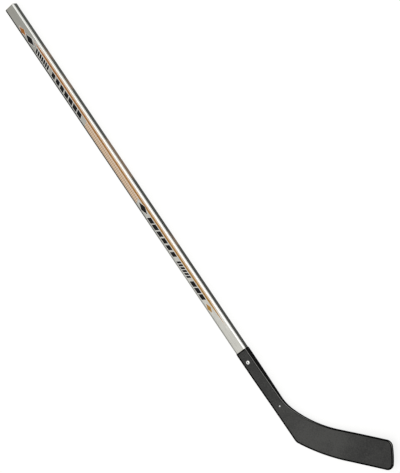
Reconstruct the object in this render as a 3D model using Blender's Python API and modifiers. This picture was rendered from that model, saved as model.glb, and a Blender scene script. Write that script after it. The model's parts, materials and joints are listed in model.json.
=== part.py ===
"""Street hockey stick: a laminated wooden shaft in printed film, seated in the hosel of a moulded blade.

Metres, +Z up. The stick lies on its back: +X runs along the shaft from the butt end to the blade, +Y points
to the toe's side, and +Z is the blade's hollow side. While it is built, x = 0 is the mouth of the hosel on the
shaft's middle line. At the end the whole stick is moved so that the origin is the middle of its bounding
box's bottom.
"""
import math

import bmesh
import bpy
from mathutils import Vector

# Shaft, with the film on it
SHAFT_LENGTH = 1.024
SHAFT_WIDTH = 0.030
SHAFT_THICKNESS = 0.020
SHAFT_CORNER = 0.004
FILM = 0.00025
FIBREGLASS = 0.0008
OUTER_PLY = 0.0024
CORE_PLIES = 3
BUTT_CHAMFER = 0.001
FILM_SETBACK = 0.001

# Every seat and glue line
SEAT_GAP = 0.0003

# Hosel and its socket
HOSEL_PROUD = 0.00025
HOSEL_WALL = 0.003
SOCKET_DEPTH = 0.173
SOCKET_END_WIDTH = 0.0205
SOCKET_END_THICKNESS = 0.0055
SOCKET_CORNER = 0.0014
TONGUE_END_ROOM = 0.001
TONGUE_ROOT = 0.006
NECK_TAPER_LENGTH = 0.254

# Blade outline: the sole is the edge that meets the floor, the brow is the opposite one
NECK_SOLE_FLARE = math.radians(0.3)
NECK_BROW_FLARE = math.radians(0.35)
HEEL_DISTANCE = 0.2504
HEEL_RADIUS = 0.020
HEEL_ANGLE = math.radians(32)
BLADE_ANGLE = math.radians(49)
ROCKER_RADIUS = 0.435
SOLE_STRAIGHT = 0.099
THROAT_RADIUS = 0.100
THROAT_ANGLE = math.radians(22)
BROW_RADIUS = 0.270
BLADE_HEIGHT = 0.0714
TOE_LEAN = math.radians(6.5)
TOE_TURN = math.radians(10)
TOE_SOLE_RADIUS = 0.016
TOE_BROW_RADIUS = 0.016

# Blade section
BLADE_THICKNESS = 0.007
EDGE_RADIUS = 0.002
CURVE_START = 0.234
CURVE_DEPTH = 0.013

# Blind rivet through the hosel's front wall
RIVET_FROM_MOUTH = 0.0315
RIVET_SHANK_RADIUS = 0.0024
RIVET_HEAD_RADIUS = 0.0048
RIVET_HEAD_HEIGHT = 0.0017
RIVET_HEAD_RIM = 0.0004
RIVET_LENGTH = 0.009
RIVET_BORE_RADIUS = 0.00145
MANDREL_HEAD_RADIUS = 0.0022
MANDREL_HEAD_LENGTH = 0.0018
MANDREL_TIP_RADIUS = 0.0011
MANDREL_TIP_LENGTH = 0.0012
MANDREL_BREAK_DEPTH = 0.0006
MANDREL_BREAK_CHAMFER = 0.0004

# Pin through the neck and the tongue's thin end
PIN_FROM_SOCKET_END = 0.014
PIN_TOWARD_TOE = 0.0025
PIN_HEAD_RADIUS = 0.0020
PIN_HEAD_CROWN_RADIUS = 0.0014
PIN_HEAD_CROWN_DROP = 0.0001
PIN_HEAD_EDGE_DROP = 0.00036
PIN_HEAD_THICKNESS = 0.0009
PIN_SHANK_RADIUS = 0.0008
PIN_POINT_RADIUS = 0.0002
PIN_POINT_LENGTH = 0.0016
PIN_PROUD = 0.0003
PIN_COVER = 0.002

# Fineness of the faceted shapes
CORNER_STEPS = 4
SHAFT_CORNER_STEPS = 6
NECK_STATIONS = 12
BEND_STATIONS = 26
BLADE_STATIONS = 9
TOE_CORNER_STATIONS = 7
TOE_EDGE_POINTS = 3
TURN_STEPS = 32
SHARP_ANGLE = math.radians(30)
CUT_MARGIN = 0.005
FINE_MERGE = 0.00002

COLOURS = {
    "silver_film": ((0.60, 0.59, 0.56), 0.28, 0.75),
    "glass_skin": ((0.45, 0.42, 0.30), 0.40, 0.0),
    "birch": ((0.62, 0.45, 0.27), 0.60, 0.0),
    "aspen": ((0.72, 0.60, 0.42), 0.65, 0.0),
    "black_abs": ((0.05, 0.05, 0.048), 0.50, 0.0),
    "rivet_aluminium": ((0.80, 0.80, 0.78), 0.30, 1.0),
    "plated_steel": ((0.55, 0.55, 0.54), 0.35, 1.0),
}


def advance(tip, length, turn):
    """Moves a tip (x, y, heading) along a straight, or along an arc that turns left."""
    x, y, heading = tip
    half = turn / 2
    chord = length * math.sin(half) / half if half else length
    return x + chord * math.cos(heading + half), y + chord * math.sin(heading + half), heading + turn


class Edge:
    """A run of straights and arcs without a kink, measured by the distance along it."""

    def __init__(self, y, heading):
        self.tip = (0.0, y, heading)
        self.length = 0.0
        self.pieces = []

    def straight(self, length):
        return self.arc(length, 0.0)

    def bend_to(self, radius, heading):
        turn = heading - self.tip[2]
        return self.arc(radius * abs(turn), turn)

    def arc(self, length, turn):
        self.pieces.append((self.length, self.tip, length, turn))
        self.tip = advance(self.tip, length, turn)
        self.length += length
        return self

    def at(self, distance):
        """Gives (x, y, heading) at a distance from the mouth."""
        start, tip, length, turn = [piece for piece in self.pieces if piece[0] <= distance + FINE_MERGE][-1]
        share = (distance - start) / length
        return advance(tip, length * share, turn * share)


def hosel_width():
    return SHAFT_WIDTH + 2 * HOSEL_PROUD


def hosel_thickness():
    return SHAFT_THICKNESS + 2 * HOSEL_PROUD


def socket_size(x, clearance=0.0):
    """Gives the socket's width and thickness at a depth, less a clearance all round."""
    share = x / SOCKET_DEPTH
    mouth_width = hosel_width() - 2 * HOSEL_WALL
    mouth_thickness = hosel_thickness() - 2 * HOSEL_WALL
    width = mouth_width + (SOCKET_END_WIDTH - mouth_width) * share
    thickness = mouth_thickness + (SOCKET_END_THICKNESS - mouth_thickness) * share
    return width - 2 * clearance, thickness - 2 * clearance


def thickness_at(distance):
    """Gives the moulding's thickness at a distance from the mouth along its middle."""
    share = min(distance / NECK_TAPER_LENGTH, 1.0)
    ease = (1 - math.cos(math.pi * share)) / 2
    return hosel_thickness() + (BLADE_THICKNESS - hosel_thickness()) * ease


def brow_bends(brow):
    return brow.bend_to(THROAT_RADIUS, THROAT_ANGLE).bend_to(BROW_RADIUS, BLADE_ANGLE)


def outline_edges():
    """Builds the sole edge, and the brow edge that keeps the blade's height from it."""
    sole = Edge(-hosel_width() / 2, -NECK_SOLE_FLARE)
    sole.straight(HEEL_DISTANCE - HEEL_RADIUS * math.tan((HEEL_ANGLE + NECK_SOLE_FLARE) / 2))
    sole.bend_to(HEEL_RADIUS, HEEL_ANGLE)
    sole.bend_to(ROCKER_RADIUS, BLADE_ANGLE)
    rocker_end = sole.length
    sole.straight(SOLE_STRAIGHT)

    # The bends alone say how far the neck's inner edge must run straight before them
    bends = brow_bends(Edge(hosel_width() / 2, NECK_BROW_FLARE))
    across = Vector((-math.sin(BLADE_ANGLE), math.cos(BLADE_ANGLE)))
    height = (Vector(bends.tip[:2]) - Vector(sole.tip[:2])).dot(across)
    throat_start = (height - BLADE_HEIGHT) / math.sin(BLADE_ANGLE - NECK_BROW_FLARE)
    brow = brow_bends(Edge(hosel_width() / 2, NECK_BROW_FLARE).straight(throat_start))
    return sole, brow, rocker_end, throat_start


def close_toe(sole, brow):
    """Runs the brow on to the toe and adds both corners, so that an arc joins them as the toe's edge.

    Gives where the corners start on each edge, and the length of the toe edge's chord.
    """
    across = BLADE_ANGLE + math.pi / 2
    chord_heading = across + TOE_LEAN
    sole_stop, brow_stop = sole.length, brow.length
    sole.bend_to(TOE_SOLE_RADIUS, chord_heading - TOE_TURN / 2)
    corner = Edge(0, BLADE_ANGLE).bend_to(TOE_BROW_RADIUS, chord_heading + TOE_TURN / 2 - math.pi)
    # The brow's last straight is as long as makes its corner end on the toe edge's line
    corner_end = Vector(brow.tip[:2]) + Vector(corner.tip[:2])
    along = Vector((math.cos(BLADE_ANGLE), math.sin(BLADE_ANGLE)))
    chord = Vector((math.cos(chord_heading), math.sin(chord_heading)))
    gap = corner_end - Vector(sole.tip[:2])
    straight = -gap.cross(chord) / along.cross(chord)
    brow.straight(straight)
    brow_stop += straight
    brow.bend_to(TOE_BROW_RADIUS, chord_heading + TOE_TURN / 2 - math.pi)
    return sole_stop, brow_stop, (Vector(brow.tip[:2]) - Vector(sole.tip[:2])).length


def spread(start, end, count):
    """Gives count distances after start, the last one at end."""
    return [start + (end - start) * (i + 1) / count for i in range(count)]


def moulding_outline():
    """Gives the moulding's outline from the mouth round the toe and back, and its number of stations.

    Each point is (place, inward direction, thickness, lift of the middle surface).
    """
    sole, brow, rocker_end, throat_start = outline_edges()
    foot = brow.length + (Vector(sole.at(rocker_end)[:2]) - Vector(brow.tip[:2])).dot(
        Vector((math.cos(BLADE_ANGLE), math.sin(BLADE_ANGLE))))
    sole_tangent, brow_tangent, toe = close_toe(sole, brow)

    sole_stops = [0.0]
    brow_stops = [0.0]
    for sole_end, brow_end, count in (
            (throat_start, throat_start, NECK_STATIONS), (rocker_end, foot, BEND_STATIONS),
            (sole_tangent, brow_tangent, BLADE_STATIONS), (sole.length, brow.length, TOE_CORNER_STATIONS)):
        sole_stops += spread(sole_stops[-1], sole_end, count)
        brow_stops += spread(brow_stops[-1], brow_end, count)

    sole_points = [sole.at(stop) for stop in sole_stops]
    brow_points = [brow.at(stop) for stop in brow_stops]
    middles = [(Vector(a[:2]) + Vector(b[:2])) / 2 for a, b in zip(sole_points, brow_points)]
    distances = [0.0]
    for a, b in zip(middles, middles[1:]):
        distances.append(distances[-1] + (b - a).length)

    def outline_point(point, side, distance):
        x, y, heading = point
        inward = Vector((-math.sin(heading), math.cos(heading))) * side
        share = max(distance - CURVE_START, 0) / (distances[-1] - CURVE_START)
        return Vector((x, y)), inward, thickness_at(distance), CURVE_DEPTH * share ** 2

    outline = [outline_point(point, 1, distance) for point, distance in zip(sole_points, distances)]
    toe_arc = toe / math.sin(TOE_TURN / 2) * TOE_TURN / 2
    for i in range(1, TOE_EDGE_POINTS + 1):
        share = i / (TOE_EDGE_POINTS + 1)
        on_toe = advance(sole_points[-1], toe_arc * share, TOE_TURN * share)
        outline.append(outline_point(on_toe, 1, distances[-1]))
    outline += [outline_point(point, -1, distance)
                for point, distance in zip(reversed(brow_points), reversed(distances))]
    return outline, len(sole_points)


def edge_profile(point):
    """Gives the rounded edge at one outline point, from the back face round to the front face."""
    place, inward, thickness, lift = point
    half = thickness / 2
    radius = min(EDGE_RADIUS, half - FINE_MERGE)
    profile = []
    for side in (-1, 1):
        for step in range(CORNER_STEPS + 1):
            angle = math.pi / 2 * step / CORNER_STEPS
            angle = angle - math.pi / 2 if side < 0 else angle
            inset = place + inward * radius * (1 - math.cos(angle))
            profile.append((inset.x, inset.y, lift + side * (half - radius) + radius * math.sin(angle)))
    return profile


def new_object(name, mesh, collection):
    item = bpy.data.objects.new(name, mesh)
    collection.objects.link(item)
    return item


def mesh_from(bm, name):
    mesh = bpy.data.meshes.new(name)
    bm.to_mesh(mesh)
    bm.free()
    return mesh


def moulding_mesh():
    """Lofts the moulding: an edge profile carried round the outline, with ladders of faces across it."""
    outline, stations = moulding_outline()
    bm = bmesh.new()
    rings = [[bm.verts.new(corner) for corner in edge_profile(point)] for point in outline]
    last = len(rings) - 1
    for ring, following in zip(rings, rings[1:]):
        for k in range(len(ring) - 1):
            bm.faces.new((ring[k], following[k], following[k + 1], ring[k + 1]))
    for level in (0, -1):
        for i in range(stations - 1):
            j = last - i
            bm.faces.new((rings[i][level], rings[i + 1][level], rings[j - 1][level], rings[j][level]))
        bm.faces.new([ring[level] for ring in rings[stations - 1:last - stations + 2]])
    bm.faces.new(rings[0] + rings[last][::-1])
    bmesh.ops.recalc_face_normals(bm, faces=bm.faces)
    return mesh_from(bm, "moulding")


def bar_mesh(name, x_range, start_size, end_size, corner, steps):
    """Builds a bar along X with rounded long edges; its section may taper from one end to the other."""
    bm = bmesh.new()
    bmesh.ops.create_cube(bm, size=1)
    for vert in bm.verts:
        at_start = vert.co.x < 0
        width, thickness = start_size if at_start else end_size
        vert.co = (x_range[0 if at_start else 1], math.copysign(width / 2, vert.co.y),
                   math.copysign(thickness / 2, vert.co.z))
    long_edges = [edge for edge in bm.edges if abs(edge.verts[0].co.x - edge.verts[1].co.x) > FINE_MERGE]
    bmesh.ops.bevel(bm, geom=long_edges, offset=corner, offset_type="OFFSET", segments=steps, profile=0.5,
                    affect="EDGES")
    return bm


def chamfer_end(bm, x, size):
    """Chamfers the outer edges of a bar's flat end."""
    rim = [edge for edge in bm.edges if all(abs(vert.co.x - x) < FINE_MERGE for vert in edge.verts)]
    bmesh.ops.bevel(bm, geom=rim, offset=size, offset_type="OFFSET", segments=1, profile=0.5, affect="EDGES")


def cut(item, cutter, operation="DIFFERENCE"):
    boolean = item.modifiers.new(operation.lower() + "_" + cutter.name, "BOOLEAN")
    boolean.operation = operation
    boolean.solver = "EXACT"
    boolean.object = cutter


def turned_object(name, profile, collection, closed):
    """Turns a profile of (radius, height) points, listed from top to bottom on its outer side, about Z."""
    mesh = bpy.data.meshes.new(name)
    count = len(profile)
    edges = [(i, i + 1) for i in range(count - 1)]
    if closed:
        edges.append((count - 1, 0))
    mesh.from_pydata([(radius, 0, height) for radius, height in profile], edges, [])
    item = new_object(name, mesh, collection)
    screw = item.modifiers.new("turn", "SCREW")
    screw.axis = "Z"
    screw.steps = TURN_STEPS
    screw.render_steps = TURN_STEPS
    screw.use_merge_vertices = True
    screw.merge_threshold = FINE_MERGE
    return item


def add_cutter(name, mesh, cutters):
    item = new_object(name, mesh, cutters)
    item.hide_render = True
    item.display_type = "WIRE"
    return item


def drill(name, x, y, radius, top, bottom, cutters):
    """Makes a round cutter from a top height down to a bottom height."""
    bm = bmesh.new()
    bmesh.ops.create_cone(bm, cap_ends=True, segments=TURN_STEPS, radius1=radius, radius2=radius,
                          depth=top - bottom)
    item = add_cutter(name, mesh_from(bm, name), cutters)
    item.location = (x, y, (top + bottom) / 2)
    return item


def material(name):
    colour, roughness, metallic = COLOURS[name]
    made = bpy.data.materials.get(name)
    if made is None:
        made = bpy.data.materials.new(name)
        made.use_nodes = True
        shader = made.node_tree.nodes["Principled BSDF"]
        shader.inputs["Base Color"].default_value = (*colour, 1)
        shader.inputs["Roughness"].default_value = roughness
        shader.inputs["Metallic"].default_value = metallic
        made.diffuse_color = (*colour, 1)
    return made


def dress(item, name):
    item.data.materials.clear()
    item.data.materials.append(material(name))


def blank_cutter(cutters):
    """Makes the shape of the whole glued blank: the full shaft with the reduced tongue on its end."""
    inset = 2 * (FILM + SEAT_GAP)
    section = (SHAFT_WIDTH - inset, SHAFT_THICKNESS - inset)
    bar = bar_mesh("shaft_blank", (-SHAFT_LENGTH, -SEAT_GAP), section, section, SHAFT_CORNER - inset / 2,
                   SHAFT_CORNER_STEPS)
    chamfer_end(bar, -SHAFT_LENGTH, BUTT_CHAMFER)
    blank = add_cutter("shaft_blank", mesh_from(bar, "shaft_blank"), cutters)
    tip = SOCKET_DEPTH - TONGUE_END_ROOM
    tongue = bar_mesh("tongue", (-TONGUE_ROOT, tip), socket_size(-TONGUE_ROOT, SEAT_GAP),
                      socket_size(tip, SEAT_GAP), SOCKET_CORNER - SEAT_GAP, CORNER_STEPS)
    cut(blank, add_cutter("tongue", mesh_from(tongue, "tongue"), cutters), "UNION")
    return blank


def ply_layers():
    """Gives (node name, material, lowest height, highest height) of each layer of the blank, front first."""
    top = SHAFT_THICKNESS / 2 - FILM - SEAT_GAP
    skin_bottom = top - FIBREGLASS
    ply_top = skin_bottom - SEAT_GAP
    ply_bottom = ply_top - OUTER_PLY
    core_top = ply_bottom - SEAT_GAP
    core_ply = (2 * core_top - (CORE_PLIES - 1) * SEAT_GAP) / CORE_PLIES
    layers = [("fibreglass_front", "glass_skin", skin_bottom, top + CUT_MARGIN),
              ("outer_ply_front", "birch", ply_bottom, ply_top)]
    for i in range(CORE_PLIES):
        high = core_top - i * (core_ply + SEAT_GAP)
        layers.append((f"core_ply_{i + 1}", "aspen", high - core_ply, high))
    layers += [("outer_ply_back", "birch", -ply_top, -ply_bottom),
               ("fibreglass_back", "glass_skin", -top - CUT_MARGIN, -skin_bottom)]
    return layers


def build_blank(parts, cutters, holes):
    """Cuts the glued blank into its layers, and drills the holes through those that they reach."""
    blank = blank_cutter(cutters)
    half_width = SHAFT_WIDTH / 2 + CUT_MARGIN
    start = -SHAFT_LENGTH - CUT_MARGIN
    end = SOCKET_DEPTH + CUT_MARGIN
    for name, finish, low, high in ply_layers():
        bm = bmesh.new()
        bmesh.ops.create_cube(bm, size=1)
        bmesh.ops.scale(bm, vec=(end - start, 2 * half_width, high - low), verts=bm.verts)
        bmesh.ops.translate(bm, vec=((start + end) / 2, 0, (low + high) / 2), verts=bm.verts)
        layer = new_object(name, mesh_from(bm, name), parts)
        cut(layer, blank, "INTERSECT")
        for hole, bottom in holes:
            if bottom < high:
                cut(layer, hole)
        dress(layer, finish)


def build_film(parts):
    """Makes the printed film: an open tube round the shaft, thickened inwards."""
    section = (SHAFT_WIDTH, SHAFT_THICKNESS)
    bm = bar_mesh("shaft_film", (-SHAFT_LENGTH + FILM_SETBACK, -SEAT_GAP), section, section, SHAFT_CORNER,
                  SHAFT_CORNER_STEPS)
    ends = [face for face in bm.faces if abs(face.normal.x) > 0.5]
    bmesh.ops.delete(bm, geom=ends, context="FACES_ONLY")
    film = new_object("shaft_film", mesh_from(bm, "shaft_film"), parts)
    wall = film.modifiers.new("wall", "SOLIDIFY")
    wall.thickness = FILM
    wall.offset = -1
    wall.use_even_offset = True
    dress(film, "silver_film")


def build_blade(parts, cutters, holes):
    """Makes the moulding and cuts its socket and its fasteners' holes."""
    blade = new_object("blade", moulding_mesh(), parts)
    socket = bar_mesh("socket", (-CUT_MARGIN, SOCKET_DEPTH), socket_size(-CUT_MARGIN),
                      socket_size(SOCKET_DEPTH), SOCKET_CORNER, CORNER_STEPS)
    cut(blade, add_cutter("socket", mesh_from(socket, "socket"), cutters))
    for hole in holes:
        cut(blade, hole)
    dress(blade, "black_abs")


def dome(radius, height, rim, inner_radius):
    """Gives the profile of a domed head, from its inner radius at the top out to its rim."""
    points = []
    for step in range(2 * CORNER_STEPS + 1):
        angle = math.pi / 2 * step / (2 * CORNER_STEPS)
        points.append((inner_radius + (radius - inner_radius) * math.sin(angle),
                       rim + (height - rim) * math.cos(angle)))
    return points


def build_rivet(parts, cutters):
    """Makes the blind rivet and its broken stem, and gives the hole that they need and how deep it goes."""
    seat = thickness_at(RIVET_FROM_MOUTH) / 2 + SEAT_GAP
    profile = dome(RIVET_HEAD_RADIUS, RIVET_HEAD_HEIGHT, RIVET_HEAD_RIM, RIVET_BORE_RADIUS)
    profile += [(RIVET_HEAD_RADIUS, 0), (RIVET_SHANK_RADIUS, 0), (RIVET_SHANK_RADIUS, -RIVET_LENGTH),
                (RIVET_BORE_RADIUS, -RIVET_LENGTH)]
    body = turned_object("rivet_body", profile, parts, closed=True)
    body.location = (RIVET_FROM_MOUTH, 0, seat)
    dress(body, "rivet_aluminium")

    stem = RIVET_BORE_RADIUS - SEAT_GAP
    head_top = -RIVET_LENGTH - SEAT_GAP
    head_bottom = head_top - MANDREL_HEAD_LENGTH
    break_height = RIVET_HEAD_HEIGHT - MANDREL_BREAK_DEPTH
    mandrel = turned_object("rivet_mandrel", [
        (0, break_height), (stem - MANDREL_BREAK_CHAMFER, break_height),
        (stem, break_height - MANDREL_BREAK_CHAMFER), (stem, head_top),
        (MANDREL_HEAD_RADIUS, head_top), (MANDREL_HEAD_RADIUS, head_bottom + MANDREL_TIP_LENGTH),
        (MANDREL_TIP_RADIUS, head_bottom), (0, head_bottom)], parts, closed=False)
    mandrel.location = body.location
    dress(mandrel, "plated_steel")

    bottom = seat + head_bottom - SEAT_GAP
    hole = drill("rivet_hole", RIVET_FROM_MOUTH, 0, RIVET_SHANK_RADIUS + SEAT_GAP, seat + CUT_MARGIN, bottom,
                 cutters)
    return hole, bottom


def build_pin(parts, cutters):
    """Makes the pin, which stops short of the back, and gives its hole, how deep that goes and its recess."""
    x = SOCKET_DEPTH - PIN_FROM_SOCKET_END
    surface = thickness_at(x) / 2
    head_bottom = PIN_PROUD - PIN_HEAD_THICKNESS
    tip = PIN_COVER - 2 * surface
    pin = turned_object("blade_pin", [
        (0, PIN_PROUD), (PIN_HEAD_CROWN_RADIUS, PIN_PROUD - PIN_HEAD_CROWN_DROP),
        (PIN_HEAD_RADIUS, PIN_PROUD - PIN_HEAD_EDGE_DROP), (PIN_HEAD_RADIUS, head_bottom),
        (PIN_SHANK_RADIUS, head_bottom), (PIN_SHANK_RADIUS, tip + PIN_POINT_LENGTH),
        (PIN_POINT_RADIUS, tip), (0, tip)], parts, closed=False)
    pin.location = (x, PIN_TOWARD_TOE, surface)
    dress(pin, "plated_steel")
    bottom = surface + tip - SEAT_GAP
    hole = drill("pin_hole", x, PIN_TOWARD_TOE, PIN_SHANK_RADIUS + SEAT_GAP, surface + CUT_MARGIN, bottom,
                 cutters)
    recess = drill("pin_recess", x, PIN_TOWARD_TOE, PIN_HEAD_RADIUS + SEAT_GAP,
                   surface + CUT_MARGIN, surface + head_bottom - SEAT_GAP, cutters)
    return hole, bottom, recess


def smooth(item):
    item.data.shade_smooth()
    item.data.set_sharp_from_angle(angle=SHARP_ANGLE)


def place_on_floor(items, root):
    """Moves the stick's empty so that the origin is the middle of the bounding box's bottom."""
    bpy.context.view_layer.update()
    graph = bpy.context.evaluated_depsgraph_get()
    corners = []
    for item in items:
        evaluated = item.evaluated_get(graph)
        corners += [evaluated.matrix_world @ vert.co for vert in evaluated.data.vertices]
    low = Vector([min(corner[axis] for corner in corners) for axis in range(3)])
    high = Vector([max(corner[axis] for corner in corners) for axis in range(3)])
    root.location = (-(low.x + high.x) / 2, -(low.y + high.y) / 2, -low.z)


def main():
    for item in list(bpy.data.objects):
        bpy.data.objects.remove(item, do_unlink=True)
    parts = bpy.data.collections.new("street_hockey_stick")
    cutters = bpy.data.collections.new("cutters")
    for collection in (parts, cutters):
        bpy.context.scene.collection.children.link(collection)

    rivet_hole, rivet_bottom = build_rivet(parts, cutters)
    pin_hole, pin_bottom, pin_recess = build_pin(parts, cutters)
    build_blank(parts, cutters, [(rivet_hole, rivet_bottom), (pin_hole, pin_bottom)])
    build_film(parts)
    build_blade(parts, cutters, [rivet_hole, pin_hole, pin_recess])

    items = [item for item in parts.objects if item.type == "MESH"]
    root = bpy.data.objects.new("stick_root", None)
    parts.objects.link(root)
    for item in items + list(cutters.objects):
        item.parent = root
    for item in items:
        smooth(item)
    place_on_floor(items, root)


main()
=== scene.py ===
"""Looks of the street hockey stick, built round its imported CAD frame.

The stick lies on its back on a pale floor: +X runs from the butt end to the blade, +Y to the toe's side and
+Z out of the blade's hollow side. Lengths are metres unless a name ends in _mm.
"""

import json
import logging
import math
from collections.abc import Callable, Iterator
from contextlib import contextmanager
from dataclasses import dataclass, field
from enum import Enum
from functools import partial, reduce

import bmesh
import bpy
from mathutils import Matrix, Vector


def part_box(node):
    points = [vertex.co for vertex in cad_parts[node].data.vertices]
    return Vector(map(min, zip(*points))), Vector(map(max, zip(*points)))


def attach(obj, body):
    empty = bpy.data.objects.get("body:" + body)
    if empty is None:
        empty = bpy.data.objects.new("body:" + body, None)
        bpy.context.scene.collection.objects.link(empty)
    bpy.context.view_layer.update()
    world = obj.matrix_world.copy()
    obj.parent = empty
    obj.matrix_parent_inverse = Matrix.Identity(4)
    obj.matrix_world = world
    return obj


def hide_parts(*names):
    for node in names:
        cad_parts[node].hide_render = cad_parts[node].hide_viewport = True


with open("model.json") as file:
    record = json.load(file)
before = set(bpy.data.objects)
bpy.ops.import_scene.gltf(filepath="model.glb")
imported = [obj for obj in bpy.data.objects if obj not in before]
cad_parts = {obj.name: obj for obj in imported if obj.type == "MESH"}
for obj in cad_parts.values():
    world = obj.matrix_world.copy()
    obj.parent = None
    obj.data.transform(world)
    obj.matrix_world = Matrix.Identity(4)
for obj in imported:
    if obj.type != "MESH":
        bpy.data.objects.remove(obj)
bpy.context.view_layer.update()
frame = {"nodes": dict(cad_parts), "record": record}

log = logging.getLogger("street_hockey_stick")

BODY = "root"
MM = 1000.0
TOUCH = 0.000002
SEED_SIZE = 0.002
SMOOTH_ANGLE = math.radians(32)
UP = Vector((0, 0, 1))

# A node's output, what feeds a node's inputs by name or number, and the function that adds a node to a tree
Socket = bpy.types.NodeSocket
Inputs = dict[int | str, object]
Put = Callable[..., Socket]


class Part(Enum):
    """What an edit-mode selection is made of."""

    POINTS = "verts"
    EDGES = "edges"
    FACES = "faces"


class Axis(Enum):
    """The directions that a wave of a pattern can run in."""

    ALONG = "X"
    ACROSS = "Y"


# Modelling


class Workpiece:
    """One mesh object while it is modelled with Blender's own operators."""

    def __init__(self, name: str, primitive: Callable, **settings: object) -> None:
        """Adds a primitive, and settles its place and scale into its mesh.

        Args:
            name: Name of the object and of its mesh.
            primitive: The bpy.ops.mesh operator that adds it.
            settings: Settings of that operator, and the scale if it has one.
        """
        bpy.ops.object.select_all(action="DESELECT")
        scale = settings.pop("scale", (1, 1, 1))
        primitive(**settings)
        self.object = bpy.context.object
        self.object.name = name
        self.object.data.name = name
        self.object.scale = scale
        bpy.ops.object.transform_apply(location=True, rotation=True, scale=True)

    @contextmanager
    def editing(self) -> Iterator[None]:
        """Opens the piece in edit mode, alone and with nothing selected."""
        self.activate()
        bpy.ops.object.mode_set(mode="EDIT")
        bpy.context.tool_settings.mesh_select_mode = (True, False, False)
        bpy.ops.mesh.select_all(action="DESELECT")
        yield
        bpy.ops.object.mode_set(mode="OBJECT")

    def activate(self) -> None:
        """Makes the piece the only selected object."""
        bpy.ops.object.select_all(action="DESELECT")
        self.object.select_set(True)
        bpy.context.view_layer.objects.active = self.object

    def select(self, part: Part, test: Callable[[object], bool]) -> None:
        """Selects, in edit mode, the elements that pass a test, and nothing else.

        Args:
            part: Whether points, edges or faces are chosen.
            test: Tells whether one element is chosen.
        """
        bpy.ops.mesh.select_all(action="DESELECT")
        bpy.context.tool_settings.mesh_select_mode = [part is kind for kind in Part]
        grid = bmesh.from_edit_mesh(self.object.data)
        for element in getattr(grid, part.value):
            if test(element):
                element.select_set(True)
        grid.select_flush_mode()
        bmesh.update_edit_mesh(self.object.data)

    def bevel(self, width: float, segments: int) -> None:
        """Rounds the selected edges, in edit mode, over a width of each face and in some steps."""
        bpy.ops.mesh.bevel(offset=width, offset_type="OFFSET", segments=segments, profile=0.5, affect="EDGES",
                           clamp_overlap=False)

    def modify(self, kind: str, **settings: object) -> None:
        """Adds a modifier, and applies it.

        Args:
            kind: The modifier's type.
            settings: Its settings.
        """
        self.activate()
        modifier = self.object.modifiers.new(kind.lower(), kind)
        for setting, value in settings.items():
            setattr(modifier, setting, value)
        bpy.ops.object.modifier_apply(modifier=modifier.name)

    def cut(self, cutter: "Workpiece") -> None:
        """Cuts a closed shape out of the piece, and removes that shape."""
        self.modify("BOOLEAN", operation="DIFFERENCE", solver="EXACT", object=cutter.object)
        bpy.data.objects.remove(cutter.object, do_unlink=True)

    def clean(self) -> None:
        """Merges double points and turns every face outwards."""
        with self.editing():
            bpy.ops.mesh.select_all(action="SELECT")
            bpy.ops.mesh.remove_doubles(threshold=TOUCH)
            bpy.ops.mesh.normals_make_consistent(inside=False)

    def paint(self, *finishes: "Finish") -> None:
        """Gives the piece its finishes, the first one all over."""
        for finish in finishes:
            self.object.data.materials.append(finish.build())

    def mark(self) -> None:
        """Gives the selected faces, in edit mode, the second finish."""
        self.object.active_material_index = 1
        bpy.ops.object.material_slot_assign()

    def hand_over(self, slot: str, *nodes: str) -> None:
        """Shades the piece smooth up to the sharp angle, with the broad faces' normals leading, gives it its
        body, and hides the CAD nodes that it stands for.

        Args:
            slot: The record's material slot; it is not used.
            nodes: The CAD nodes.
        """
        self.activate()
        bpy.ops.object.shade_smooth_by_angle(angle=SMOOTH_ANGLE)
        self.modify("WEIGHTED_NORMAL", keep_sharp=True, weight=80)
        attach(self.object, BODY)
        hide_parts(*nodes)
        log.info("%s: %d points, stands for %s", self.object.name, len(self.object.data.vertices),
                 ", ".join(nodes))


@dataclass(frozen=True)
class Pen:
    """The tip of an edge line while it is drawn: its place and its heading in radians."""

    x: float
    y: float
    heading: float

    def after(self, *bends: tuple[float, float]) -> "Pen":
        """Gives the tip after some bends.

        Args:
            bends: Length and turn of each one. It is straight where the turn is 0, and turns left above that.

        Returns:
            The tip at the end of the last one.
        """
        tip = self
        for length, turn in bends:
            half = turn / 2
            chord = length * math.sin(half) / half if half else length
            tip = Pen(tip.x + chord * math.cos(tip.heading + half),
                      tip.y + chord * math.sin(tip.heading + half), tip.heading + turn)
        return tip

    @property
    def place(self) -> Vector:
        """The tip's place."""
        return Vector((self.x, self.y))


@dataclass(frozen=True)
class Run:
    """A straight, or an arc that turns left where its turn is positive, in a number of steps."""

    length: float
    turn: float
    steps: int


def shared_steps(lengths: list[float], steps: int) -> list[int]:
    """Shares out steps among lengths that follow each other, so that all steps are about as long.

    Args:
        lengths: The lengths.
        steps: How many steps there are in all.

    Returns:
        How many steps each length gets.
    """
    total = sum(lengths)
    marks = [round(steps * sum(lengths[:i + 1]) / total) for i in range(len(lengths))]
    return [mark - before for mark, before in zip(marks, [0] + marks)]


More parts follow.
